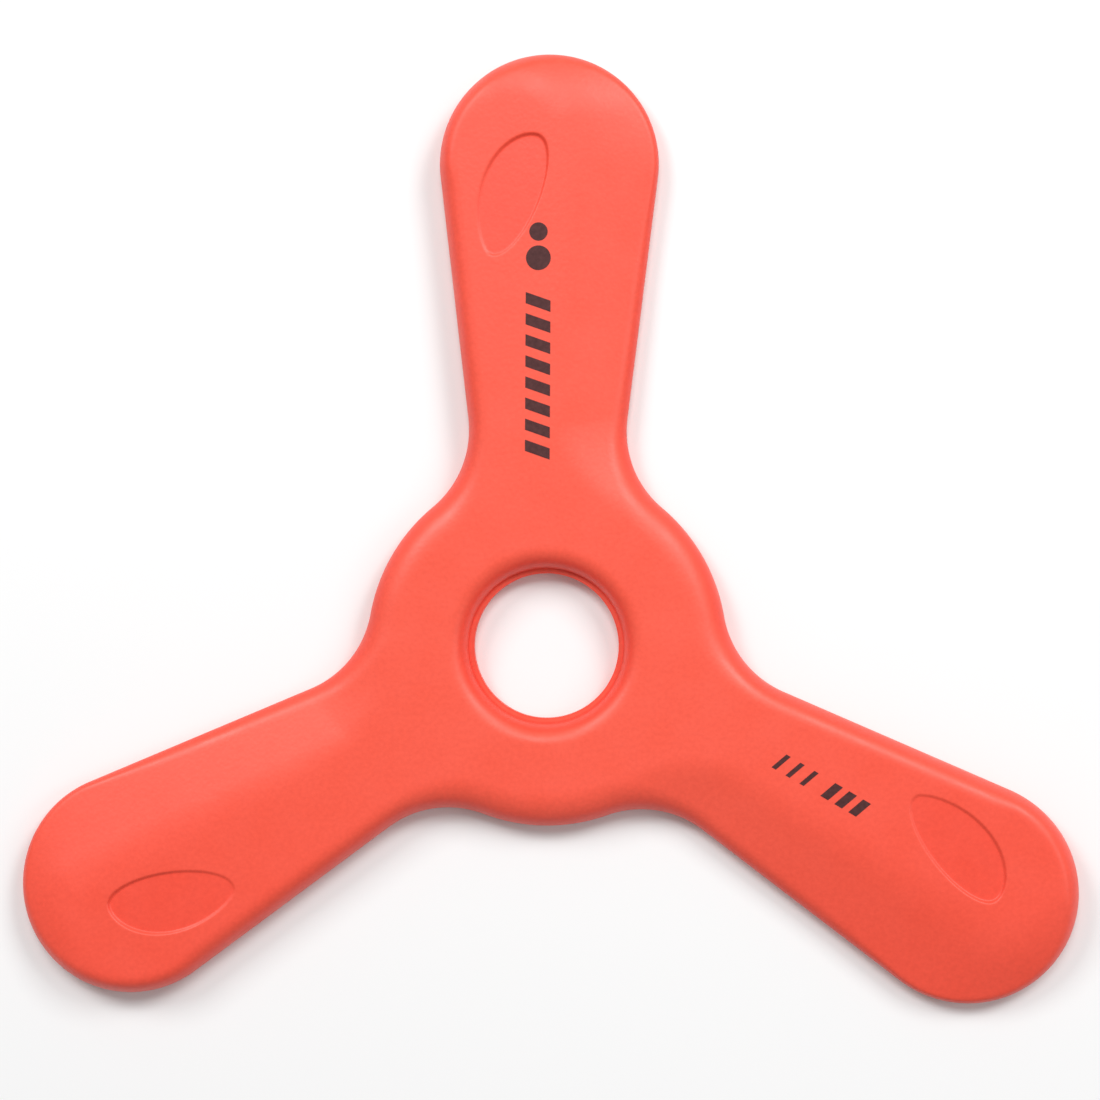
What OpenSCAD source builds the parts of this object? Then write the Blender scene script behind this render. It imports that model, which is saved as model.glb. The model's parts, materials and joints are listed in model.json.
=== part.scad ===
// Soft three-wing boomerang: two foam halves bonded over a flexible core, with ink marks on top.
// Millimetres. The hub's axis is Z, the flat underside is z = 0 and the first wing points along +Y.

/* [Plan] */
// From the hub's centre to the end of each wing
span_r = 150; // [140:1:160]
// Radius of the round hub
hub_r = 45.5; // [43:0.5:48]
// Radius of the round wing ends
tip_r = 27.8; // [25:0.1:30]
// Angle between a wing's axis and each of its straight sides
side_angle = 6.9; // [6:0.1:8]
// Radius of the concave corner where a wing leaves the hub
root_r = 25.4; // [22:0.1:28]
// Radius of the centre hole
hole_r = 18.3; // [15:0.1:20]

/* [Section] */
// Thickness of the hub and of the flat top along each wing
top_z = 10; // [8:0.5:14]
// Height of the joint between the two foam halves
joint_z = 3; // [2.6:0.2:4]
// Width of the rounded edge along a wing's leading side
lead_w = 5; // [4:0.5:7]
// Width of the rounded edge round the hub
hub_band_w = 8.5; // [7:0.5:9]
// Width of the slope at the end of a wing
tip_band_w = 17; // [12:0.5:18]
// How much thinner the edge gets towards the end of a wing
tip_thin = 0.2; // [0:0.05:0.8]
// How much crisper the edges get towards the end of a wing
edge_crisp = 0.5; // [0:0.1:0.7]
// How far behind a wing's axis the flat top ends
crest_v = 1; // [0.5:0.5:4]
// Width over which a slope rounds into the flat top, for each millimetre from the hub's centre
crest_rate = 0.1; // [0.05:0.01:0.12]
// Width of the lip round the centre hole
lip_w = 1.3; // [0.5:0.1:2]
// Width of the rounding between the lip and the flat top
rim_w = 5.2; // [4:0.1:7]
// Radius of the rounding along the bottom edges
base_round = 1; // [0.6:0.1:1.5]

/* [Thumb recess] */
// Depth of the recess in each wing
recess_depth = 0.7; // [0.5:0.1:1.5]
// Length of the recess, from end to end
recess_len = 32.3; // [29:0.1:35]
// Angle at which the recess's floor rises towards the hub, in degrees
recess_tilt = 0.7; // [0:0.1:0.8]
// Radius of the rounding at the recess's ends
recess_round = 2; // [1:0.1:3]

/* [Core] */
// Thickness of the flexible core
core_t = 1.6; // [1.2:0.1:1.8]
// Foam left between the hole and the core
core_gap = 4; // [2:0.5:6]
// Width of the core's ring
core_ring_w = 11; // [8:0.5:13]
// Width of the core's arms
core_arm_w = 11; // [9:0.5:13]
// From the hub's centre to the centre of each arm's round end
core_end_u = 116; // [100:1:118]
// Diameter of the holes that key the foam to the core
key_d = 5; // [4:0.5:6]

/* [Marks] */
// Thickness of the ink layer on the foam
ink_t = 0.08; // [0.06:0.01:0.12]
// Height of the large row of bars, across the wing
bar_h = 6.2; // [5:0.1:7]
// Width of a large bar
bar_w = 2.8; // [2:0.1:3]
// Distance from one large bar to the next
bar_step = 5.3; // [5:0.1:5.5]
// Distance from one dot to the next
dot_step = 6.6; // [6.2:0.1:7]
// Height of the small row of bars
small_bar_h = 4.6; // [4:0.1:5]
// Distance from one small bar to the next
small_bar_step = 4; // [3.5:0.1:4.5]

/* [Hidden] */

foam_color = [0.98, 0.39, 0.32];
core_color = [0.86, 0.86, 0.82];
ink_color = [0.35, 0.24, 0.24];

wing_angles = [90, 210, 330];
// Where the rows of marks start, along and across a wing, and the widths of the small bars
bars_start = [46.8, -0.9];
dots_u = 97.5;
small_bars_start = [64, 2.6];
thin_w = 1.2;
bold_w = 2.2;
rise = top_z - joint_z;
tip_u = span_r - tip_r;
// A wing's side lies this far from the hub's centre
side_off = tip_r - tip_u * sin(side_angle);
root_angle = side_angle + asin((side_off + root_r) / (hub_r + root_r));
root_c = (hub_r + root_r) * [cos(root_angle), sin(root_angle)];
side_normal = [-sin(side_angle), cos(side_angle)];
side_start = root_c - root_r * side_normal;
side_end = [tip_u, 0] + tip_r * side_normal;

// Steps along each stretch of the half outline, and the rings inside it
hub_steps = 5;
root_steps = 9;
side_steps = 10;
tip_steps = 13;
band_rings = [0, 0.03, 0.13, 0.3, 0.6, 1];
inner_rings = 6;
$fn = 96;

function mix(a, b, t) = a + (b - a) * t;
function clamp01(x) = max(0, min(1, x));
function smooth01(x) = let (t = clamp01(x)) t * t * (3 - 2 * t);
function polar(r, a) = r * [cos(a), sin(a)];
function flip(p) = [p[0], -p[1]];
function turn(p, a) = [p[0] * cos(a) - p[1] * sin(a), p[0] * sin(a) + p[1] * cos(a)];

// Each row is [point on the outline, direction inwards], on a wing's leading side,
// from midway between two wings out to the wing's end. The wing points along +X here.
half_outline = concat(
    [for (k = [0:hub_steps - 1]) let (a = mix(60, root_angle, k / hub_steps))
        [polar(hub_r, a), -polar(1, a)]],
    [for (k = [0:root_steps - 1]) let (a = mix(root_angle + 180, 270 + side_angle, k / root_steps))
        [root_c + polar(root_r, a), polar(1, a)]],
    [for (k = [0:side_steps - 1]) [mix(side_start, side_end, k / side_steps), -side_normal]],
    [for (k = [0:tip_steps]) let (a = mix(90 + side_angle, 0, k / tip_steps))
        [[tip_u, 0] + polar(tip_r, a), -polar(1, a)]]
);
columns = len(half_outline);
outline_points = [for (row = half_outline) row[0]];
wing_outline = concat(outline_points, [for (i = [columns - 2:-1:0]) flip(outline_points[i])]);

// Width of the steep band at each column of the leading side
side_first = hub_steps + root_steps;
tip_first = side_first + side_steps;
function band_width(i) =
    i < side_first ? mix(hub_band_w, lead_w, smooth01((i - hub_steps) / root_steps))
    : mix(lead_w, tip_band_w, pow(max(0, i - tip_first) / tip_steps, 3));

// Flat top of one third of the boomerang: along the leading edge, back along the crest,
// round the trailing corner in a widening arc, and round the hub
crest_steps = 8;
corner_r = root_r + hub_band_w;
function corner_point(t) = [root_c[0], -root_c[1]]
    + polar(mix(corner_r, root_c[1] - crest_v, t * t * (2 - t)), mix(180 - root_angle, 90, t));
flat_top = concat(
    [for (row = [0:columns - 1]) half_outline[row][0] + half_outline[row][1] * band_width(row)],
    [for (k = [crest_steps:-1:0]) corner_point(k / crest_steps)],
    [for (k = [1:3]) polar(hub_r - hub_band_w, mix(-root_angle, -60, k / 3))],
    [[0, 0]]
);

function segment_distance(p, a, b) =
    let (ab = b - a, t = clamp01((p - a) * ab / (ab * ab))) norm(p - a - t * ab);
function chain_distance(p, chain) =
    min([for (i = [0:len(chain) - 2]) segment_distance(p, chain[i], chain[i + 1])]);
function crosses(p, a, b) =
    (a[1] > p[1]) != (b[1] > p[1])
    && p[0] < a[0] + (p[1] - a[1]) * (b[0] - a[0]) / (b[1] - a[1]);
function total(list, i = 0) = i == len(list) ? 0 : list[i] + total(list, i + 1);
function inside(p, loop) =
    total([for (i = [0:len(loop) - 1]) crosses(p, loop[i], loop[(i + 1) % len(loop)]) ? 1 : 0])
    % 2 == 1;

// A ramp's height at a share of its width: a straight slope that rounds over in its last part
function ramp(t, rounded) = t < 1 - rounded
    ? 2 * t / (2 - rounded)
    : 1 - pow(1 - t, 2) / (rounded * (2 - rounded));

// Height of the moulded top above the joint: a rounded edge, then a ramp up to the flat top.
// The edge is full where the flat top is near and thin where the ramp is long.
function top_height(p) =
    let (
        edge = chain_distance(p, wing_outline),
        flat = inside(p, flat_top) ? 0 : chain_distance(p, flat_top),
        reach = edge + flat,
        steep = hub_band_w / reach,
        full = min(1, steep) * (1 - tip_thin * smooth01((p[0] - tip_u) / tip_r)),
        crisp = 1 - edge_crisp * smooth01((p[0] - tip_u) / tip_r + 1),
        in_edge = min(1, edge / (min(reach, hub_band_w) * min(1, steep * crisp))),
        rounded = max(0.1, min(1, crest_rate * p[0] / reach))
    )
    flat == 0 ? rise
    : rise * sqrt(1 - pow(1 - in_edge, 2)) * mix(full, 1, ramp(edge / reach, rounded));

// The columns run inwards to the hub's centre, along the wing's axis, or to the wing's end circle
function spine_u(i) =
    i < tip_first ? mix(0, tip_u, pow(i / tip_first, 1.5)) : tip_u;
function ring_point(i, ring) =
    let (
        row = half_outline[i],
        band = row[0] + row[1] * lead_w,
        bands = len(band_rings) - 1
    )
    ring <= bands ? row[0] + row[1] * lead_w * band_rings[ring]
    : mix(band, [spine_u(i), 0], (ring - bands) / inner_rings);
rings = len(band_rings) + inner_rings;

// One third runs from the trailing side round the wing's end to the leading side.
// Its last column belongs to the next third.
third_columns = 2 * columns - 2;
all_columns = 3 * third_columns;
function third_point(c, ring) =
    c < columns ? flip(ring_point(c, ring)) : ring_point(third_columns - c, ring);
function third_inset(c, inset) = let (
        low = c < columns,
        row = half_outline[low ? c : third_columns - c],
        p = row[0] + row[1] * inset
    )
    low ? flip(p) : p;

// Layers are loops of all_columns points: the spine, the outline moved inwards, or a top ring
function all_round(points, heights) = [
    for (a = wing_angles)
        for (c = [0:third_columns - 1])
            let (p = turn(points[c], a)) [p[0], p[1], heights[c]]
];
function level(z) = [for (c = [0:third_columns - 1]) z];
function spine_layer(z) =
    all_round([for (c = [0:third_columns - 1]) third_point(c, rings - 1)], level(z));
function outline_layer(inset, z) =
    all_round([for (c = [0:third_columns - 1]) third_inset(c, inset)], level(z));
function top_layer(ring) = let (
        points = [for (c = [0:third_columns - 1]) third_point(c, ring)]
    )
    all_round(points, [for (p = points) joint_z + top_height(p)]);

/* Solids that several pieces share */

// Closed solid through a list of layers whose first and last are spines
module layered(layers) {
    strips = [for (k = [0:len(layers) - 2]) for (c = [0:all_columns - 1])
        let (
            next = (c + 1) % all_columns,
            p0 = k * all_columns + c,
            p1 = k * all_columns + next,
            p2 = p1 + all_columns,
            p3 = p0 + all_columns
        )
        each [[p0, p3, p2], [p0, p2, p1]]];
    polyhedron(points = [for (layer = layers) each layer], faces = strips);
}

// Space of the centre hole: a true cylinder with rounded rims above and below
module hole_space() {
    wall_top = joint_z + 1;
    rim_h = top_z - wall_top;
    lip_r = hole_r + lip_w;
    rotate_extrude() {
        polygon(concat(
            [[0, -1], [hole_r + base_round, -1]],
            [for (a = [0:15:90]) [
                hole_r + base_round * (1 - sin(a)),
                base_round * (1 - cos(a))
            ]],
            [[hole_r, wall_top]],
            [for (a = [0:7.5:90]) [
                lip_r + rim_w * (1 - cos(a)),
                wall_top + rim_h * sin(a)
            ]],
            [[lip_r + rim_w, top_z + 1], [0, top_z + 1]]
        ));
    }
}

// Core outline: a ring round the hole with one rounded arm in each wing, and holes that key the foam
module core_plan() {
    core_in_r = hole_r + core_gap;
    ring_r = core_in_r + core_ring_w;
    difference() {
        union() {
            circle(r = ring_r);
            for (a = wing_angles) {
                rotate(a) {
                    translate([0, -core_arm_w / 2]) square([core_end_u, core_arm_w]);
                    translate([core_end_u, 0]) circle(d = core_arm_w);
                }
            }
        }
        circle(r = core_in_r);
        for (a = wing_angles) {
            rotate(a) {
                for (u = [ring_r + key_d:3 * key_d:core_end_u]) {
                    translate([u, 0]) circle(d = key_d);
                }
            }
        }
    }
}

// Leaf shape of the thumb recess before rounding, from its outer point: a full leading side
// and a flatter trailing side, each a share of the length wide
leaf_len = recess_len - 2 * recess_round;
leaf_steps = 14;
leaf_tip = [tip_u + 4.4, 3.1];
leaf_turn = 158.5;
function leaf_lead(s) = 0.63 * pow(s, 0.6) * pow(1 - s, 0.8);
function leaf_trail(s) = 0.34 * pow(s, 0.6) * pow(1 - s, 0.6);
leaf_points = leaf_len * concat(
    [for (k = [0:leaf_steps]) let (s = k / leaf_steps) [s, leaf_lead(s)]],
    [for (k = [leaf_steps - 1:-1:1]) let (s = k / leaf_steps) [s, -leaf_trail(s)]]
);
module recess_space() {
    for (a = wing_angles) {
        rotate(a) {
            translate([leaf_tip[0], leaf_tip[1], top_z - recess_depth]) {
                rotate(leaf_turn) mirror([0, 1]) rotate([0, -recess_tilt, 0]) {
                    linear_extrude(recess_depth + 1) {
                        offset(r = recess_round, $fn = 32) polygon(leaf_points);
                    }
                }
            }
        }
    }
}

/* The pieces */

module upper_foam() {
    color(foam_color) {
        difference() {
            layered([
                spine_layer(joint_z),
                outline_layer(0, joint_z),
                for (ring = [1:rings - 1]) top_layer(ring)
            ]);
            hole_space();
            recess_space();
        }
    }
}

module lower_foam() {
    color(foam_color) {
        difference() {
            layered([
                spine_layer(0),
                for (a = [0:22.5:90]) outline_layer(
                    base_round * (1 - sin(a)),
                    base_round * (1 - cos(a))
                ),
                outline_layer(0, joint_z),
                spine_layer(joint_z)
            ]);
            hole_space();
            translate([0, 0, joint_z - core_t]) linear_extrude(core_t + 1) core_plan();
        }
    }
}

module core_frame() {
    color(core_color) {
        translate([0, 0, joint_z - core_t]) linear_extrude(core_t) core_plan();
    }
}

// One slanted bar of an ink row, standing on the row's base line
module bar(width, height) {
    slant = 0.35 * height;
    polygon([[0, 0], [width, 0], [width + slant, height], [slant, height]]);
}

// A row of bars along a wing, from a point given as [along, across] the wing
module bar_row(start, count, step, width, height) {
    for (k = [0:count - 1]) {
        translate([start[0] + step * k, start[1], top_z]) linear_extrude(ink_t) bar(width, height);
    }
}

module wing_bars() {
    color(ink_color) rotate(wing_angles[0]) bar_row(bars_start, 8, bar_step, bar_w, bar_h);
}

module wing_dots() {
    color(ink_color) rotate(wing_angles[0]) {
        for (k = [0:1]) {
            translate([dots_u + dot_step * k, bars_start[1] + bar_h / 2, top_z]) {
                cylinder(r = bar_h / 2 - 0.8 * k, h = ink_t);
            }
        }
    }
}

module side_bars() {
    color(ink_color) rotate(wing_angles[2]) {
        bar_row(small_bars_start, 3, small_bar_step, thin_w, small_bar_h);
        bar_row(small_bars_start + [3.5 * small_bar_step, 0], 3, small_bar_step, bold_w, small_bar_h);
    }
}

upper_foam();
lower_foam();
core_frame();
wing_bars();
wing_dots();
side_bars();
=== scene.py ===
"""Soft three-wing boomerang: dense foam meshes, materials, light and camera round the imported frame."""

import json
import math

import bmesh
import bpy
import numpy as np
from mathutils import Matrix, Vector
from mathutils.geometry import delaunay_2d_cdt


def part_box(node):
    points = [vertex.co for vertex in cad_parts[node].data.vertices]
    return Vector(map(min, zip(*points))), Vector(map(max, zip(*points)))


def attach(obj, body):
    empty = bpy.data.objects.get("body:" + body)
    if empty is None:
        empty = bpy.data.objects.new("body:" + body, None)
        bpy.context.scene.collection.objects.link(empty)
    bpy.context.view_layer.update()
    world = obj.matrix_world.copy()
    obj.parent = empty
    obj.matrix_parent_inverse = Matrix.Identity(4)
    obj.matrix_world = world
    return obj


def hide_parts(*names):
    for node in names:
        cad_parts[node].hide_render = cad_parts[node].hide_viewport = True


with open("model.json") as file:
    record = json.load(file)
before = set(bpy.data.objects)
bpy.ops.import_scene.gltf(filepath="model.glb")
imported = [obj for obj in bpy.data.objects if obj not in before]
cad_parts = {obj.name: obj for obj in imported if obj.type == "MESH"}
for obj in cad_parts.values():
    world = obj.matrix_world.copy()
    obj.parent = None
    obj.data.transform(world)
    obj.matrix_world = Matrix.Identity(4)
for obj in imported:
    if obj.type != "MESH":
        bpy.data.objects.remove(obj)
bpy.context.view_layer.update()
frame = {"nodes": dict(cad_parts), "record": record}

MM = 0.001

# ---------------------------------------------------------------- driving dimensions, in millimetres
# They are the CAD source's own sizes. A wing lies along +X, with its leading side towards +Y.

upper_low, upper_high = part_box("upper_foam")
mounts = {m["name"]: m for m in frame["record"]["mounts"]}
SPAN_R = upper_high.y / MM              # hub's centre to a wing's end
TOP_Z = upper_high.z / MM               # flat top
JOINT_Z = upper_low.z / MM              # parting line of the two halves
HOLE_R = mounts["centre_hole"]["dims"]["r_mm"]
HUB_R = 45.5
TIP_R = 27.8                            # round end of a wing
SIDE_ANGLE = math.radians(6.9)          # between a wing's middle line and each of its sides
ROOT_R = 25.4                           # inward corner between hub and wing
LEAD_W = 5.0                            # rounded edge along the leading side
HUB_BAND_W = 8.5                        # rounded edge round the hub
TIP_BAND_W = 17.0                       # from the outline to the flat top at the wing's end
TIP_THIN = 0.2                          # share of its height that the edge loses at the end
EDGE_CRISP = 0.5                        # how much narrower the rounded edge gets at the end
CREST_V = 1.0                           # how far the flat top ends behind the middle line
CREST_RATE = 0.1                        # how fast the crest gets rounder along the wing
CREST_LEAST = 0.1                       # share of the ramp that is rounded where it is sharpest
LIP_W = 1.3                             # flat lip round the hole
RIM_W = 5.2                             # rounding from the lip up to the flat top
WALL_TOP = JOINT_Z + 1.0                # top of the hole's straight wall
BASE_ROUND = 1.0                        # rounding of the underside's edges
JOINT_ROUND = 0.25                      # rounding of the lower half along the parting line
RECESS_DEPTH = 0.7                      # thumb recess at its outer end
RECESS_LEN = 32.3                       # from end to end
RECESS_ROUND = 2.0                      # rounding of its outline
RECESS_WALL = 1.0                       # width of its sloping wall
RECESS_TILT = math.radians(0.7)         # rise of its floor towards the hub
LEAF_TIP_OUT = 4.4                      # its outer point, past the centre of the wing's end
LEAF_TIP_V = 3.1                        # and towards the leading side
LEAF_BEARING = math.radians(158.5)      # direction from that point to its inner one
LEAF_LEAD_BULGE = 0.63                  # bulges of its two sides, for a length of 1
LEAF_TRAIL_BULGE = 0.34
CORE_T = 1.6                            # thickness of the hidden core
CORE_ARM_W = 11.0
CORE_IN_R = HOLE_R + 4.0                # its ring, inside and outside
CORE_RING_R = CORE_IN_R + 11.0
CORE_END_U = 116.0                      # centre of an arm's round end
KEY_D = 5.0                             # holes that key the foam to the core
KEY_STEP = 3 * KEY_D

# Painted shade, from 0 to 1, that deepens the foam's colour on steep sides and in the thumb recesses, with a
# darker tone towards the wings' ends. Steepness is read from the upward part of the normal.
STEEP_FROM = 0.93                       # painted shade starts on a side here
STEEP_SPAN = 0.3                        # and is full when the normal has dropped by this
DARKER_AT_END = 0.4                       # darker tone at a wing's end
SHADE_IN_RECESS = 0.55                   # painted shade in the thumb recess

# Plan geometry that follows from these.
RISE = TOP_Z - JOINT_Z
TIP_U = SPAN_R - TIP_R
SIDE_OFF = TIP_R - TIP_U * math.sin(SIDE_ANGLE)    # from the hub's centre to the side's line
ROOT_ANGLE = SIDE_ANGLE + math.asin((SIDE_OFF + ROOT_R) / (HUB_R + ROOT_R))
ROOT_C = (HUB_R + ROOT_R) * np.array([math.cos(ROOT_ANGLE), math.sin(ROOT_ANGLE)])
ROOT_FIRST = ROOT_ANGLE + math.pi
ROOT_LAST = 1.5 * math.pi + SIDE_ANGLE
SIDE_NORMAL = np.array([-math.sin(SIDE_ANGLE), math.cos(SIDE_ANGLE)])
TIP_C = np.array([TIP_U, 0.0])
TIP_FIRST = math.pi / 2 + SIDE_ANGLE
TIP_ARC = 1.7 * TIP_R                   # about the length of the end's arc on the leading side
SIDE_START = ROOT_C - ROOT_R * SIDE_NORMAL
SIDE_END = TIP_C + TIP_R * SIDE_NORMAL
SIDE_LEN = np.linalg.norm(SIDE_END - SIDE_START)
HALF_THIRD = math.radians(60)
WING_ANGLES = [math.radians(a) for a in (90, 210, 330)]
HARD_EDGE = math.radians(50)            # faces that meet at more than this show an edge

FLAT_TOP_SPACING = 1.5                  # between the corners of the flat top's leading edge
CORNER_COUNT = 14                       # corners of its edge between the crest and the hub
HUB_COUNT = 10                          # and round the hub
ON_EDGE = 0.001                         # points closer to the outline than this lie on it
SLACK = 1e-9                            # rounding error allowed where arcs and sides meet
BORDER_SLACK = 1e-6                     # and, in radians, where a chain of points meets a third's border
FAR = 1e3                               # stands for a part of the outline that isn't facing a point


# ---------------------------------------------------------------- plan curves of one wing along +X

def polar(radius, angle):
    return np.stack([radius * np.cos(angle), radius * np.sin(angle)], -1)


def turn_matrix(angle):
    """Turns points, held as rows, anticlockwise by the angle."""
    return np.array([[math.cos(angle), math.sin(angle)], [-math.sin(angle), math.cos(angle)]])


def circle(centre, radius, spacing):
    turn = np.linspace(0, 2 * math.pi, round(2 * math.pi * radius / spacing) + 1)
    return np.array(centre) + polar(radius, turn)


def smooth01(t):
    t = np.clip(t, 0, 1)
    return t * t * (3 - 2 * t)


def steps(start, end, spacing, length):
    """Values from start towards end, without the end, about spacing apart along a curve of that length."""
    count = max(2, round(length / spacing))
    return np.linspace(start, end, count, endpoint=False)


def half_outline(spacing):
    """Points of the outline on the leading side, from midway between two wings to the wing's end,
    their directions inwards, and how far the flat top is from each."""
    a = steps(HALF_THIRD, ROOT_ANGLE, spacing, HUB_R * (HALF_THIRD - ROOT_ANGLE))
    hub = (polar(HUB_R, a), -polar(1, a), np.full(len(a), HUB_BAND_W))
    a = steps(ROOT_FIRST, ROOT_LAST, spacing, ROOT_R * (ROOT_LAST - ROOT_FIRST))
    share = smooth01(np.linspace(0, 1, len(a), endpoint=False))
    root = (ROOT_C + polar(ROOT_R, a), polar(1, a), HUB_BAND_W + (LEAD_W - HUB_BAND_W) * share)
    t = steps(0, 1, spacing, SIDE_LEN)[:, None]
    side = (SIDE_START + (SIDE_END - SIDE_START) * t, -SIDE_NORMAL + 0 * t, np.full(len(t), LEAD_W))
    a = np.append(steps(TIP_FIRST, 0, spacing, TIP_ARC), 0)
    share = np.linspace(0, 1, len(a)) ** 3
    tip = (TIP_C + polar(TIP_R, a), -polar(1, a), LEAD_W + (TIP_BAND_W - LEAD_W) * share)
    return [np.concatenate(group) for group in zip(hub, root, side, tip)]


def flat_top_loop():
    """Edge of the flat top of one third: along the leading edge, back along the crest, and round the hub."""
    points, inward, band = half_outline(FLAT_TOP_SPACING)
    lead = points + inward * band[:, None]
    t = np.linspace(1, 0, CORNER_COUNT)
    hub_corner_r = ROOT_R + HUB_BAND_W
    radius = hub_corner_r + (ROOT_C[1] - CREST_V - hub_corner_r) * t * t * (2 - t)
    corner = ROOT_C * (1, -1) + polar(radius, math.pi - ROOT_ANGLE + (ROOT_ANGLE - math.pi / 2) * t)
    hub = polar(HUB_R - HUB_BAND_W, np.linspace(-ROOT_ANGLE, -HALF_THIRD, HUB_COUNT)[1:])
    return np.concatenate([lead, corner, hub, [(0, 0)]])


def edge_distance(p):
    """How far each point of the wing is from the outline, exactly: hub, root corner, side and end."""
    q = np.stack([p[:, 0], np.abs(p[:, 1])], -1)
    angle = np.arctan2(q[:, 1], q[:, 0])
    hub = np.where(angle >= ROOT_ANGLE - SLACK, HUB_R - np.linalg.norm(q, axis=1), FAR)
    from_root = q - ROOT_C
    angle = np.arctan2(from_root[:, 1], from_root[:, 0]) % (2 * math.pi)
    facing = (angle >= ROOT_FIRST - SLACK) & (angle <= ROOT_LAST + SLACK)
    root = np.where(facing, np.linalg.norm(from_root, axis=1) - ROOT_R, FAR)
    along = (q - SIDE_START) @ (SIDE_END - SIDE_START) / SIDE_LEN
    beside = (along >= -SLACK) & (along <= SIDE_LEN + SLACK)
    side = np.where(beside, (SIDE_START - q) @ SIDE_NORMAL, FAR)
    from_tip = q - TIP_C
    angle = np.arctan2(from_tip[:, 1], from_tip[:, 0])
    tip = np.where(angle <= TIP_FIRST + SLACK, TIP_R - np.linalg.norm(from_tip, axis=1), FAR)
    nearest = np.minimum.reduce([hub, root, side, tip])
    return np.where(nearest < ON_EDGE, 0, nearest)


def within_outline(p):
    """Whether each point of the wing's third lies inside the outline."""
    q = np.stack([p[:, 0], np.abs(p[:, 1])], -1)
    in_hub = np.linalg.norm(q, axis=1) < HUB_R
    in_tip = np.linalg.norm(q - TIP_C, axis=1) < TIP_R
    in_wing = (q[:, 0] > 0) & (q[:, 0] < TIP_U) & ((q - SIDE_START) @ SIDE_NORMAL <= 0)
    in_root = (q[:, 0] < SIDE_START[0]) & (q[:, 1] < ROOT_C[1]) & (q @ (ROOT_C[1], -ROOT_C[0]) > 0)
    in_root &= np.linalg.norm(q - ROOT_C, axis=1) > ROOT_R
    return in_hub | in_tip | in_wing | in_root


def loop_distance(p, loop):
    """Distance from each point to a closed loop of straight pieces."""
    best = np.full(len(p), FAR)
    for start, piece in zip(loop, np.roll(loop, -1, axis=0) - loop):
        t = np.clip((p - start) @ piece / (piece @ piece), 0, 1)
        best = np.minimum(best, np.linalg.norm(p - start - t[:, None] * piece, axis=1))
    return best


def inside(p, loop):
    """Whether each point lies inside a closed loop, by counting the sides that a ray crosses."""
    odd = np.zeros(len(p), bool)
    for a, b in zip(loop, np.roll(loop, -1, axis=0)):
        if a[1] == b[1]:
            continue
        at = a[0] + (p[:, 1] - a[1]) * (b[0] - a[0]) / (b[1] - a[1])
        odd ^= ((a[1] > p[:, 1]) != (b[1] > p[:, 1])) & (p[:, 0] < at)
    return odd


def from_leaf(p):
    """Distance outside the leaf loop, negative inside it."""
    return loop_distance(p, LEAF) * np.where(inside(p, LEAF), -1, 1)


def leaf_loop(half_count=60):
    """Core of the thumb recess's outline: two bulging sides between its points, before rounding."""
    length = RECESS_LEN - 2 * RECESS_ROUND
    s = (1 - np.cos(np.linspace(0, math.pi, half_count, endpoint=False))) / 2
    lead = np.stack([length * s, -LEAF_LEAD_BULGE * length * s ** 0.6 * (1 - s) ** 0.8], -1)
    s = 1 - s
    trail = np.stack([length * s, LEAF_TRAIL_BULGE * length * s ** 0.6 * (1 - s) ** 0.6], -1)
    axes = np.array([LEAF_AXIS, (-LEAF_AXIS[1], LEAF_AXIS[0])])
    return LEAF_TIP + np.concatenate([lead, trail]) @ axes


LEAF_TIP = np.array([TIP_U + LEAF_TIP_OUT, LEAF_TIP_V])
LEAF_AXIS = polar(1, LEAF_BEARING)
FLAT_TOP = flat_top_loop()
LEAF = leaf_loop()


# ---------------------------------------------------------------- heights over the plan

def quarter_round(t):
    return np.sqrt(1 - (1 - np.clip(t, 0, 1)) ** 2)


def ramp(t, share):
    """Rises from 0 to 1, straight at first and rounding over in the last share of its width."""
    straight = 2 * t / (2 - share)
    rounded = 1 - (1 - t) ** 2 / (share * (2 - share))
    return np.where(t < 1 - share, straight, rounded)


def recess_share(p):
    """0 outside the thumb recess, 1 on its floor."""
    return smooth01((RECESS_ROUND - from_leaf(p)) / RECESS_WALL + 0.5)


def top_height(p):
    """Moulded top: a rounded edge and a ramp to the flat top, the rim of the hole, and the recess."""
    edge = edge_distance(p)
    on_top = inside(p, FLAT_TOP)
    reach = np.maximum(edge + np.where(on_top, 0, loop_distance(p, FLAT_TOP)), SLACK)
    steep = HUB_BAND_W / reach
    towards_end = (p[:, 0] - TIP_U) / TIP_R
    full = np.minimum(1, steep) * (1 - TIP_THIN * smooth01(towards_end))
    crisp = 1 - EDGE_CRISP * smooth01(towards_end + 1)
    edge_w = np.minimum(reach, HUB_BAND_W) * np.minimum(1, steep * crisp)
    rounded = np.clip(CREST_RATE * p[:, 0] / reach, CREST_LEAST, 1)
    slope = full + (1 - full) * ramp(np.clip(edge / reach, 0, 1), rounded)
    wing = np.where(on_top, RISE, RISE * quarter_round(edge / edge_w) * slope)
    from_lip = np.linalg.norm(p, axis=1) - HOLE_R - LIP_W
    rim = WALL_TOP - JOINT_Z + (TOP_Z - WALL_TOP) * quarter_round(from_lip / RIM_W)
    depth = RECESS_DEPTH - (p - LEAF_TIP) @ LEAF_AXIS * math.tan(RECESS_TILT)
    return JOINT_Z + np.minimum(wing, rim) - depth * recess_share(p)


def from_sides(p):
    """Distance from the nearer of the outline and the hole."""
    return np.minimum(edge_distance(p), np.linalg.norm(p, axis=1) - HOLE_R)


def base_height(p):
    return BASE_ROUND * (1 - quarter_round(from_sides(p) / BASE_ROUND))


def joint_height(p):
    return JOINT_Z - JOINT_ROUND * (1 - quarter_round(from_sides(p) / JOINT_ROUND))


def flat_joint(p):
    return np.full(len(p), JOINT_Z)


# ---------------------------------------------------------------- one third as a triangle mesh

def round_rings(width, count):
    """Insets of rings across a quarter round, closest where it is steepest."""
    return width * (1 - np.cos(np.radians(np.linspace(0, 90, count))))


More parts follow.
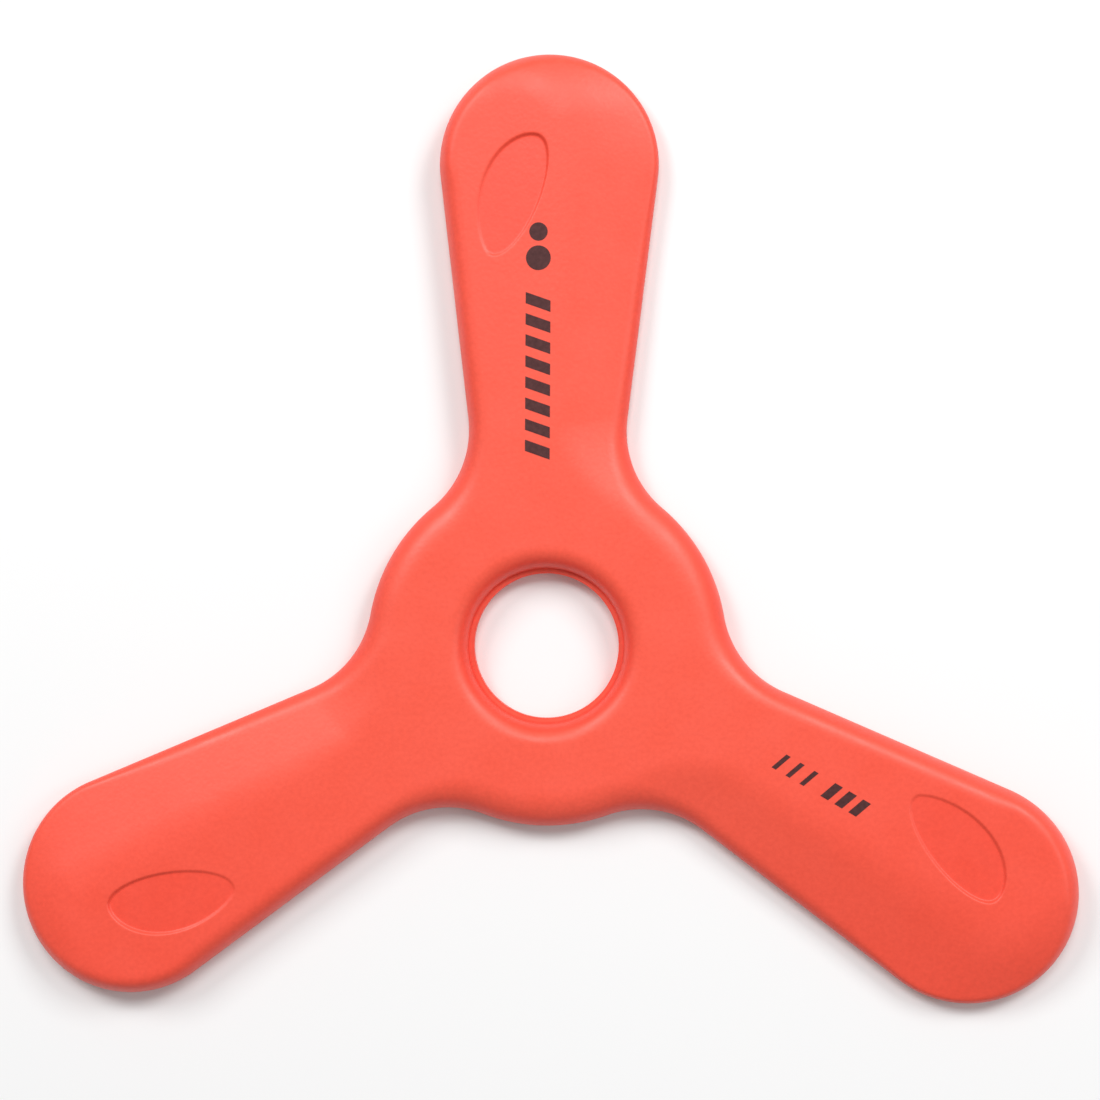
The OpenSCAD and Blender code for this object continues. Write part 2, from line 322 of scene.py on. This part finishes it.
SPACING = 1.0                           # between points of the outline, the hole and the moulded top
UNDER_SPACING = 6.0                     # coarser grids for the flat faces
BASE_SPACING = 5.0
JOINT_SPACING = 3.0
TOP_EDGE_RINGS = [0, 0.04, 0.14, 0.32, 0.6, 0.95, 1.4, 1.95, 2.6, 3.4, 4.3, 5.3, 6.4, 7.5]
TOP_RIM_RINGS = [0, LIP_W / 2] + list(LIP_W + round_rings(RIM_W, 14))
BASE_RINGS = list(round_rings(BASE_ROUND, 7))
JOINT_RINGS = list(round_rings(JOINT_ROUND, 4))
LEAF_RINGS = (0, -0.12, 0.12, -0.25, 0.25, -0.4, 0.4, -0.6, 0.6, -1.0, 1.0, -1.5, 1.5)
LEAF_END_SPACING = 0.5                  # between a ring's points round the leaf's two ends
LEAF_GAP = 0.12                         # least gap between the rings' points
LEAF_SLACK = 0.01                       # ring points nearer to the leaf than their offset, less this, go
KEY_SPACING = 0.7                       # between the points round a foam key
SAME_POINT = 1e-5                       # in plan, points this close count as one
NO_AREA = 1e-7                          # triangles with less than half of this area are dropped
JOIN_DIST = 2e-6                        # in metres: points this close become one
FLAT_DIST = 1e-7                        # in metres: edges shorter than this are dissolved


def both_sides(points):
    """The leading side's points with their mirror image, from the trailing side round to the leading."""
    return np.concatenate([points * (1, -1), points[:-1][::-1]])


def hole_chain():
    angles = np.linspace(HALF_THIRD, -HALF_THIRD, 2 * round(HALF_THIRD * HOLE_R / SPACING) + 1)
    return polar(HOLE_R, angles)


def border_radii(edge_rings, rim_rings, grid, kept_radii):
    """Distances from the centre of the points on a third's straight borders, from the outline inwards."""
    first, last = HOLE_R + rim_rings[-1], HUB_R - edge_rings[-1]
    radii = np.linspace(first, last, max(2, round((last - first) / grid)) + 1)[1:-1]
    for radius in kept_radii:
        radii = radii[np.abs(radii - radius) > grid / 3]
        radii = np.sort(np.append(radii, radius))
    ring_ends = HUB_R - np.array(edge_rings[1:])
    rim_ends = HOLE_R + np.array(rim_rings[:0:-1])
    return np.concatenate([ring_ends, radii[::-1], rim_ends])


def grid_points(edge_gap, rim_gap, grid, chains):
    """Triangular grid over the part of a third that its rings, borders and chains leave free."""
    rows = np.arange(-HUB_R, HUB_R, grid * math.sqrt(3) / 2)
    columns = np.arange(HOLE_R, SPAN_R, grid)
    u, v = np.meshgrid(columns, rows)
    u = u + grid / 2 * (np.arange(len(rows)) % 2)[:, None]
    points = np.stack([u.ravel(), v.ravel()], -1)
    clear = grid * 0.6
    from_centre = np.linalg.norm(points, axis=1)
    border_angle = HALF_THIRD - np.abs(np.arctan2(points[:, 1], points[:, 0]))
    keep = from_centre * np.sin(border_angle) > clear
    keep &= edge_distance(points) > edge_gap + clear
    keep &= within_outline(points)
    keep &= from_centre > HOLE_R + rim_gap + clear
    points = points[keep]
    for chain in chains:
        near = np.full(len(points), False)
        for point in chain:
            near |= np.linalg.norm(points - point, axis=1) < clear
        points = points[~near]
    return points


def third_points(edge_rings, rim_rings, grid, chains=(), kept_radii=()):
    """Plan points of one third, the boundary loop first, and how many points that loop has.
    The points of the chains are kept, and chains that cross the border do so at the kept radii."""
    outline, inward, _ = half_outline(SPACING)
    outline, inward = both_sides(outline), both_sides(inward)
    hole = hole_chain()
    border = border_radii(edge_rings, rim_rings, grid, kept_radii)
    down, up = polar(1, HALF_THIRD) * border[:, None], polar(1, -HALF_THIRD) * border[::-1, None]
    loop = np.concatenate([outline, down, hole, up])
    inner = [(outline + inward * inset)[1:-1] for inset in edge_rings[1:]]
    inner += [(hole * (1 + inset / HOLE_R))[1:-1] for inset in rim_rings[1:]]
    for chain in chains:
        angle = np.abs(np.arctan2(chain[:, 1], chain[:, 0]))
        inner.append(chain[angle < HALF_THIRD - BORDER_SLACK])
    free = grid_points(edge_rings[-1], rim_rings[-1], grid, chains)
    return np.concatenate([loop] + inner + [free]), len(loop)


def third_surface(points, loop_count, height, upwards):
    """Vertices and triangles of one third of a surface over the plan."""
    found = delaunay_2d_cdt([Vector(p) for p in points], [], [list(range(loop_count))], 1, SAME_POINT)
    plan = np.array(found[0])
    corners = np.array(found[2])
    a, b, c = plan[corners[:, 0]], plan[corners[:, 1]], plan[corners[:, 2]]
    area = (b[:, 0] - a[:, 0]) * (c[:, 1] - a[:, 1]) - (b[:, 1] - a[:, 1]) * (c[:, 0] - a[:, 0])
    corners = corners[np.abs(area) > NO_AREA]
    area = area[np.abs(area) > NO_AREA]
    wrong = (area > 0) != upwards
    corners[wrong] = corners[wrong][:, ::-1]
    return np.column_stack([plan, height(plan)]), corners


def wall(loop, low, high, rows):
    """Upright strip of quads along an open chain of plan points, from height low to high."""
    levels = np.linspace(low, high, rows + 1)
    points = np.concatenate([np.column_stack([loop, np.full(len(loop), z)]) for z in levels])
    n = len(loop)
    quads = [
        (k * n + i, k * n + i + 1, (k + 1) * n + i + 1, (k + 1) * n + i)
        for k in range(rows)
        for i in range(n - 1)
    ]
    return points, np.array(quads)


def join_close_points(mesh):
    """Joins the surfaces' shared points and turns every face outwards."""
    work = bmesh.new()
    work.from_mesh(mesh)
    bmesh.ops.remove_doubles(work, verts=work.verts, dist=JOIN_DIST)
    bmesh.ops.dissolve_degenerate(work, edges=work.edges, dist=FLAT_DIST)
    loose = [vertex for vertex in work.verts if not vertex.link_faces]
    bmesh.ops.delete(work, geom=loose, context="VERTS")
    bmesh.ops.recalc_face_normals(work, faces=work.faces)
    work.to_mesh(mesh)
    work.free()


def three_fold_object(name, surfaces):
    """Mesh object of the given surfaces, repeated for the three wings and joined into one skin."""
    points, faces, count = [], [], 0
    for angle in WING_ANGLES:
        for vertices, corners in surfaces:
            plan = vertices[:, :2] @ turn_matrix(angle)
            points.append(np.column_stack([plan, vertices[:, 2]]) * MM)
            faces += [[int(i) + count for i in face] for face in corners]
            count += len(vertices)
    mesh = bpy.data.meshes.new(name)
    mesh.from_pydata(np.concatenate(points), [], faces)
    join_close_points(mesh)
    mesh.shade_smooth()
    mesh.set_sharp_from_angle(angle=HARD_EDGE)
    piece = bpy.data.objects.new(name, mesh)
    bpy.context.scene.collection.objects.link(piece)
    return piece


# ---------------------------------------------------------------- the two foam halves

def leaf_points():
    """Rings of points along the recess's wall, round its core outline, middle ring first."""
    along = np.roll(LEAF, -1, axis=0) - np.roll(LEAF, 1, axis=0)
    along /= np.linalg.norm(along, axis=1)[:, None]
    outward = np.stack([along[:, 1], -along[:, 0]], -1)
    ends = [LEAF[0], LEAF[len(LEAF) // 2]]
    rings = []
    for step in LEAF_RINGS:
        offset = RECESS_ROUND + step
        round_ends = [circle(end, offset, LEAF_END_SPACING) for end in ends]
        ring = np.concatenate([LEAF + outward * offset] + round_ends)
        cut_short = from_leaf(ring) < offset - LEAF_SLACK
        rings.append(ring[~cut_short])
    return thinned(np.concatenate(rings), LEAF_GAP)


def thinned(points, gap):
    """The points without those that crowd an earlier one."""
    kept = points[:1]
    for point in points[1:]:
        if np.linalg.norm(kept - point, axis=1).min() > gap:
            kept = np.vstack([kept, point])
    return kept


def mark_painted_shade(mesh):
    """Stores painted shade at each point, for the material: most on steep sides, some in the thumb
    recesses, and a darker tone towards the wings' ends."""
    points = np.empty(len(mesh.vertices) * 3)
    mesh.vertices.foreach_get("co", points)
    points = points.reshape(-1, 3) / MM
    upright = np.array([vertex.normal.z for vertex in mesh.vertices])
    # painted shade on steep sides, where less light falls
    share = smooth01((STEEP_FROM - upright) / STEEP_SPAN)
    top = points[:, 2] > WALL_TOP
    for angle in WING_ANGLES:
        wing = points[top, :2] @ turn_matrix(-angle)
        # a darker tone towards the wings' ends
        outer = DARKER_AT_END * smooth01((wing[:, 0] - HUB_R) / (TIP_U - HUB_R))
        # painted shade in the thumb recess
        thumb = SHADE_IN_RECESS * recess_share(wing)
        share[top] = np.maximum(share[top], outer + (1 - outer) * thumb)
    values = mesh.attributes.new("painted_shade", "FLOAT", "POINT")
    values.data.foreach_set("value", share.astype(np.float32))


def upper_foam():
    """Upper half: moulded top, flat joint face and the upper end of the hole's wall."""
    points, count = third_points(TOP_EDGE_RINGS, TOP_RIM_RINGS, SPACING, [leaf_points()])
    top = third_surface(points, count, top_height, True)
    points, count = third_points([0], [0], UNDER_SPACING)
    under = third_surface(points, count, flat_joint, False)
    hole = wall(hole_chain(), JOINT_Z, WALL_TOP, 2)
    piece = three_fold_object("upper_foam_skin", [top, under, hole])
    # painted shade on steep sides and in the recesses, stored per point for the material
    mark_painted_shade(piece.data)
    return piece


def key_centres():
    return [(u, 0) for u in np.arange(CORE_RING_R + KEY_D, CORE_END_U, KEY_STEP)]


def pocket_chains():
    """Edges of the core's pocket in one third: inside the ring, outside it and round the arm, the keys.
    Their points are about 1 mm apart."""
    inner = polar(CORE_IN_R, np.linspace(-HALF_THIRD, HALF_THIRD, 45))
    meets = math.asin(CORE_ARM_W / 2 / CORE_RING_R)
    ring = polar(CORE_RING_R, np.linspace(-HALF_THIRD, -meets, 30))
    cap = (CORE_END_U, 0) + polar(CORE_ARM_W / 2, np.linspace(-math.pi / 2, math.pi / 2, 18))
    side = np.linspace(ring[-1], cap[0], 82)[1:-1]
    lower_half = np.concatenate([ring, side])
    outer = np.concatenate([lower_half, cap, lower_half[::-1] * (1, -1)])
    return [inner, outer] + [circle(centre, KEY_D / 2, KEY_SPACING) for centre in key_centres()]


def in_pocket(p):
    """Whether each plan point lies over the core, clear of the foam keys in its holes."""
    radius = np.linalg.norm(p, axis=1)
    ring = (radius > CORE_IN_R) & (radius < CORE_RING_R)
    arm = (p[:, 0] > CORE_IN_R + 1) & (p[:, 0] < CORE_END_U) & (np.abs(p[:, 1]) < CORE_ARM_W / 2)
    cap = np.linalg.norm(p - (CORE_END_U, 0), axis=1) < CORE_ARM_W / 2
    covered = ring | arm | cap
    for centre in key_centres():
        covered &= np.linalg.norm(p - centre, axis=1) > KEY_D / 2
    return covered


def lower_foam():
    """Lower half: underside, joint face with the core's pocket, outer side and the hole's wall."""
    points, count = third_points(BASE_RINGS, BASE_RINGS, BASE_SPACING)
    base = third_surface(points, count, base_height, False)
    chains = pocket_chains()
    points, count = third_points(JOINT_RINGS, JOINT_RINGS, JOINT_SPACING, chains, [CORE_IN_R, CORE_RING_R])
    joint, corners = third_surface(points, count, joint_height, True)
    sunk = in_pocket(joint[corners].mean(axis=1)[:, :2])
    floor_z = JOINT_Z - CORE_T
    pocket_floor = np.column_stack([joint[:, :2], np.full(len(joint), floor_z)])
    surfaces = [base, (joint, corners[~sunk]), (pocket_floor, corners[sunk])]
    surfaces += [wall(chain, floor_z, JOINT_Z, 1) for chain in chains]
    for chain in (both_sides(half_outline(SPACING)[0]), hole_chain()):
        surfaces.append(wall(chain, BASE_ROUND, JOINT_Z - JOINT_ROUND, 2))
    return three_fold_object("lower_foam_skin", surfaces)


foam_top = upper_foam()
foam_base = lower_foam()
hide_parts("upper_foam")
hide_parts("lower_foam")
for piece in (foam_top, foam_base):
    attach(piece, "root")


# ---------------------------------------------------------------- materials

NOISE_LOW = 0.3                         # most of a noise texture's values lie between these
NOISE_HIGH = 0.7

# Scales are in features per metre.
CLOUD_SCALE = 70                        # slow changes of the foam's colour
SPECK_SCALE = 900                       # fine specks in the foam and in the ink
SHEEN_SCALE = 110                       # patches that shine more or less
CORE_SCALE = 80                         # clouds in the core's plastic
PEBBLE_SCALE = 1100                     # pebbles of the moulded grain
GRAIN_SCALE = 2600                      # finer grain on the pebbles
GRAIN_SHARE = 0.4                       # its height against theirs
PEBBLE_HEIGHT = 0.00006                 # in metres
PEBBLE_STRENGTH = 0.4
FOAM_DARK = (0.93, 0.097, 0.053)
FOAM_LIGHT = (0.95, 0.105, 0.060)
SPECK_TINT = (0.93, 0.90, 0.90)
NO_TINT = (1, 1, 1)
PAINTED_SHADE_TINT = (0.97, 0.70, 0.66, 1)      # painted shade: deepens the colour on steep sides, in the recesses and towards the wings' ends
FOAM_ROUGHNESS = (0.38, 0.48)
INK_DARK = (0.058, 0.014, 0.014)
INK_LIGHT = (0.088, 0.026, 0.026)
CORE_DARK = (0.70, 0.70, 0.64)
CORE_LIGHT = (0.76, 0.76, 0.70)
MIX_FACTOR, MIX_FIRST, MIX_SECOND, MIX_RESULT = 0, 6, 7, 2     # a colour mix's own sockets


def new_material(name):
    material = bpy.data.materials.new(name)
    material.use_nodes = True
    return material, material.node_tree.nodes, material.node_tree.links


def noise(nodes, links, place, scale, detail):
    texture = nodes.new("ShaderNodeTexNoise")
    texture.inputs["Scale"].default_value = scale
    texture.inputs["Detail"].default_value = detail
    links.new(place.outputs["Object"], texture.inputs["Vector"])
    return texture.outputs["Fac"]


def tint(nodes, links, source, low, high):
    """Colour that runs from low to high with a noise value."""
    chosen = nodes.new("ShaderNodeValToRGB")
    for element, at, colour in zip(chosen.color_ramp.elements, (NOISE_LOW, NOISE_HIGH), (low, high)):
        element.position = at
        element.color = (*colour, 1)
    links.new(source, chosen.inputs["Fac"])
    return chosen.outputs["Color"]


def spread(nodes, links, source, low, high):
    """Number that runs from low to high with a noise value."""
    mapped = nodes.new("ShaderNodeMapRange")
    mapped.inputs["From Min"].default_value = NOISE_LOW
    mapped.inputs["From Max"].default_value = NOISE_HIGH
    mapped.inputs["To Min"].default_value = low
    mapped.inputs["To Max"].default_value = high
    links.new(source, mapped.inputs["Value"])
    return mapped.outputs["Result"]


def multiplied(nodes, links, factor, first, second):
    """First colour times the second, as far as the factor says. Each may be another node's output."""
    mix = nodes.new("ShaderNodeMix")
    mix.data_type = "RGBA"
    mix.blend_type = "MULTIPLY"
    for socket, value in ((MIX_FACTOR, factor), (MIX_FIRST, first), (MIX_SECOND, second)):
        if isinstance(value, bpy.types.NodeSocket):
            links.new(value, mix.inputs[socket])
        else:
            mix.inputs[socket].default_value = value
    return mix.outputs[MIX_RESULT]


def pebbled_normal(nodes, links, place):
    """Fine pebbled grain of a moulded skin, as a bump."""
    pebbles = nodes.new("ShaderNodeTexVoronoi")
    pebbles.feature = "SMOOTH_F1"
    pebbles.inputs["Scale"].default_value = PEBBLE_SCALE
    links.new(place.outputs["Object"], pebbles.inputs["Vector"])
    relief = nodes.new("ShaderNodeMath")
    relief.operation = "MULTIPLY_ADD"
    relief.inputs[1].default_value = GRAIN_SHARE
    links.new(noise(nodes, links, place, GRAIN_SCALE, 2), relief.inputs[0])
    links.new(pebbles.outputs["Distance"], relief.inputs[2])
    bump = nodes.new("ShaderNodeBump")
    bump.inputs["Strength"].default_value = PEBBLE_STRENGTH
    bump.inputs["Distance"].default_value = PEBBLE_HEIGHT
    links.new(relief.outputs["Value"], bump.inputs["Height"])
    return bump.outputs["Normal"]


def foam_material():
    """Moulded foam skin: slight clouding and speckle, a fine pebbled grain, a soft uneven sheen,
    and painted shade that deepens the colour on steep sides, in the recesses and towards the wings' ends."""
    material, nodes, links = new_material("coral_foam")
    shader = nodes["Principled BSDF"]
    place = nodes.new("ShaderNodeTexCoord")
    clouds = tint(nodes, links, noise(nodes, links, place, CLOUD_SCALE, 6), FOAM_DARK, FOAM_LIGHT)
    specks = tint(nodes, links, noise(nodes, links, place, SPECK_SCALE, 2), SPECK_TINT, NO_TINT)
    skin = multiplied(nodes, links, 1.0, clouds, specks)
    # painted shade, read from the mesh, deepens the skin's colour
    painted_shade = nodes.new("ShaderNodeAttribute")
    painted_shade.attribute_name = "painted_shade"
    shaded_skin = multiplied(nodes, links, painted_shade.outputs["Fac"], skin, PAINTED_SHADE_TINT)
    sheen = spread(nodes, links, noise(nodes, links, place, SHEEN_SCALE, 5), *FOAM_ROUGHNESS)
    links.new(shaded_skin, shader.inputs["Base Color"])
    links.new(sheen, shader.inputs["Roughness"])
    links.new(pebbled_normal(nodes, links, place), shader.inputs["Normal"])
    return material


def ink_material():
    """Matt dark ink, a little patchy, through which the red foam shows faintly."""
    material, nodes, links = new_material("dark_ink")
    shader = nodes["Principled BSDF"]
    place = nodes.new("ShaderNodeTexCoord")
    shade = tint(nodes, links, noise(nodes, links, place, SPECK_SCALE, 3), INK_DARK, INK_LIGHT)
    links.new(shade, shader.inputs["Base Color"])
    shader.inputs["Roughness"].default_value = 0.6
    shader.inputs["Specular IOR Level"].default_value = 0.3
    return material


def core_material():
    """Plain natural plastic."""
    material, nodes, links = new_material("core_plastic")
    shader = nodes["Principled BSDF"]
    place = nodes.new("ShaderNodeTexCoord")
    clouds = tint(nodes, links, noise(nodes, links, place, CORE_SCALE, 2), CORE_DARK, CORE_LIGHT)
    links.new(clouds, shader.inputs["Base Color"])
    shader.inputs["Roughness"].default_value = 0.45
    return material


def dress(piece, material):
    """Gives a piece one material on all its slots."""
    if not piece.material_slots:
        piece.data.materials.append(material)
    for held in piece.material_slots:
        held.material = material


foam = foam_material()
ink = ink_material()
dress(foam_top, foam)
dress(foam_base, foam)
dress(frame["nodes"]["core_frame"], core_material())
for node in ("wing_bars", "wing_dots", "side_bars"):
    dress(frame["nodes"][node], ink)


# ---------------------------------------------------------------- floor, light and camera

# In metres, with the camera's lens and sensor in millimetres.
FLOOR_HALF = 3.0
FLOOR_Z = -0.0002                       # a hair under the boomerang
LIGHT_SIZE = 0.6
LIGHT_AWAY = 1.8
CAMERA_PLACE = (0.0361, 0.0149, 0.660)
CAMERA_TURN = (0.81, 3.08, 0.31)        # about X, Y and Z, in degrees
LENS = 85
SENSOR = 36


def floor():
    mesh = bpy.data.meshes.new("floor")
    corners = [(FLOOR_HALF * x, FLOOR_HALF * y, FLOOR_Z) for x, y in ((-1, -1), (1, -1), (1, 1), (-1, 1))]
    mesh.from_pydata(corners, [], [(0, 1, 2, 3)])
    ground = bpy.data.objects.new("floor", mesh)
    bpy.context.scene.collection.objects.link(ground)
    material, nodes, _ = new_material("pale_floor")
    nodes["Principled BSDF"].inputs["Base Color"].default_value = (0.9, 0.9, 0.9, 1)
    nodes["Principled BSDF"].inputs["Roughness"].default_value = 0.8
    mesh.materials.append(material)


def soft_light(name, bearing, lean, power):
    """Square soft light, at a bearing from +X and a lean from straight up, both in degrees."""
    data = bpy.data.lights.new(name, "AREA")
    data.size = LIGHT_SIZE
    data.energy = power
    lamp = bpy.data.objects.new(name, data)
    around, out = math.radians(bearing), math.radians(lean)
    away = Vector((math.sin(out) * math.cos(around), math.sin(out) * math.sin(around), math.cos(out)))
    lamp.location = away * LIGHT_AWAY
    lamp.rotation_euler = away.to_track_quat("Z", "Y").to_euler()
    bpy.context.scene.collection.objects.link(lamp)


def studio():
    """Four soft lights, most of them on the far side, and a dim white sky."""
    soft_light("upper_left", 135, 50, 12.6)
    soft_light("upper_right", 45, 50, 13.2)
    soft_light("back", 90, 30, 9.4)
    soft_light("right", 0, 50, 3.3)
    world = bpy.data.worlds.new("studio")
    world.use_nodes = True
    world.node_tree.nodes["Background"].inputs["Color"].default_value = (1, 1, 1, 1)
    world.node_tree.nodes["Background"].inputs["Strength"].default_value = 0.3
    bpy.context.scene.world = world
    bpy.context.scene.view_settings.view_transform = "Standard"


def camera():
    """Looks down from a little to the right of the hub, and leans back towards it."""
    data = bpy.data.cameras.new("camera")
    data.sensor_width = SENSOR
    data.lens = LENS
    eye = bpy.data.objects.new("camera", data)
    eye.location = CAMERA_PLACE
    eye.rotation_mode = "ZXY"
    eye.rotation_euler = [math.radians(turn) for turn in CAMERA_TURN]
    bpy.context.scene.collection.objects.link(eye)
    bpy.context.scene.camera = eye


floor()
camera()
studio()
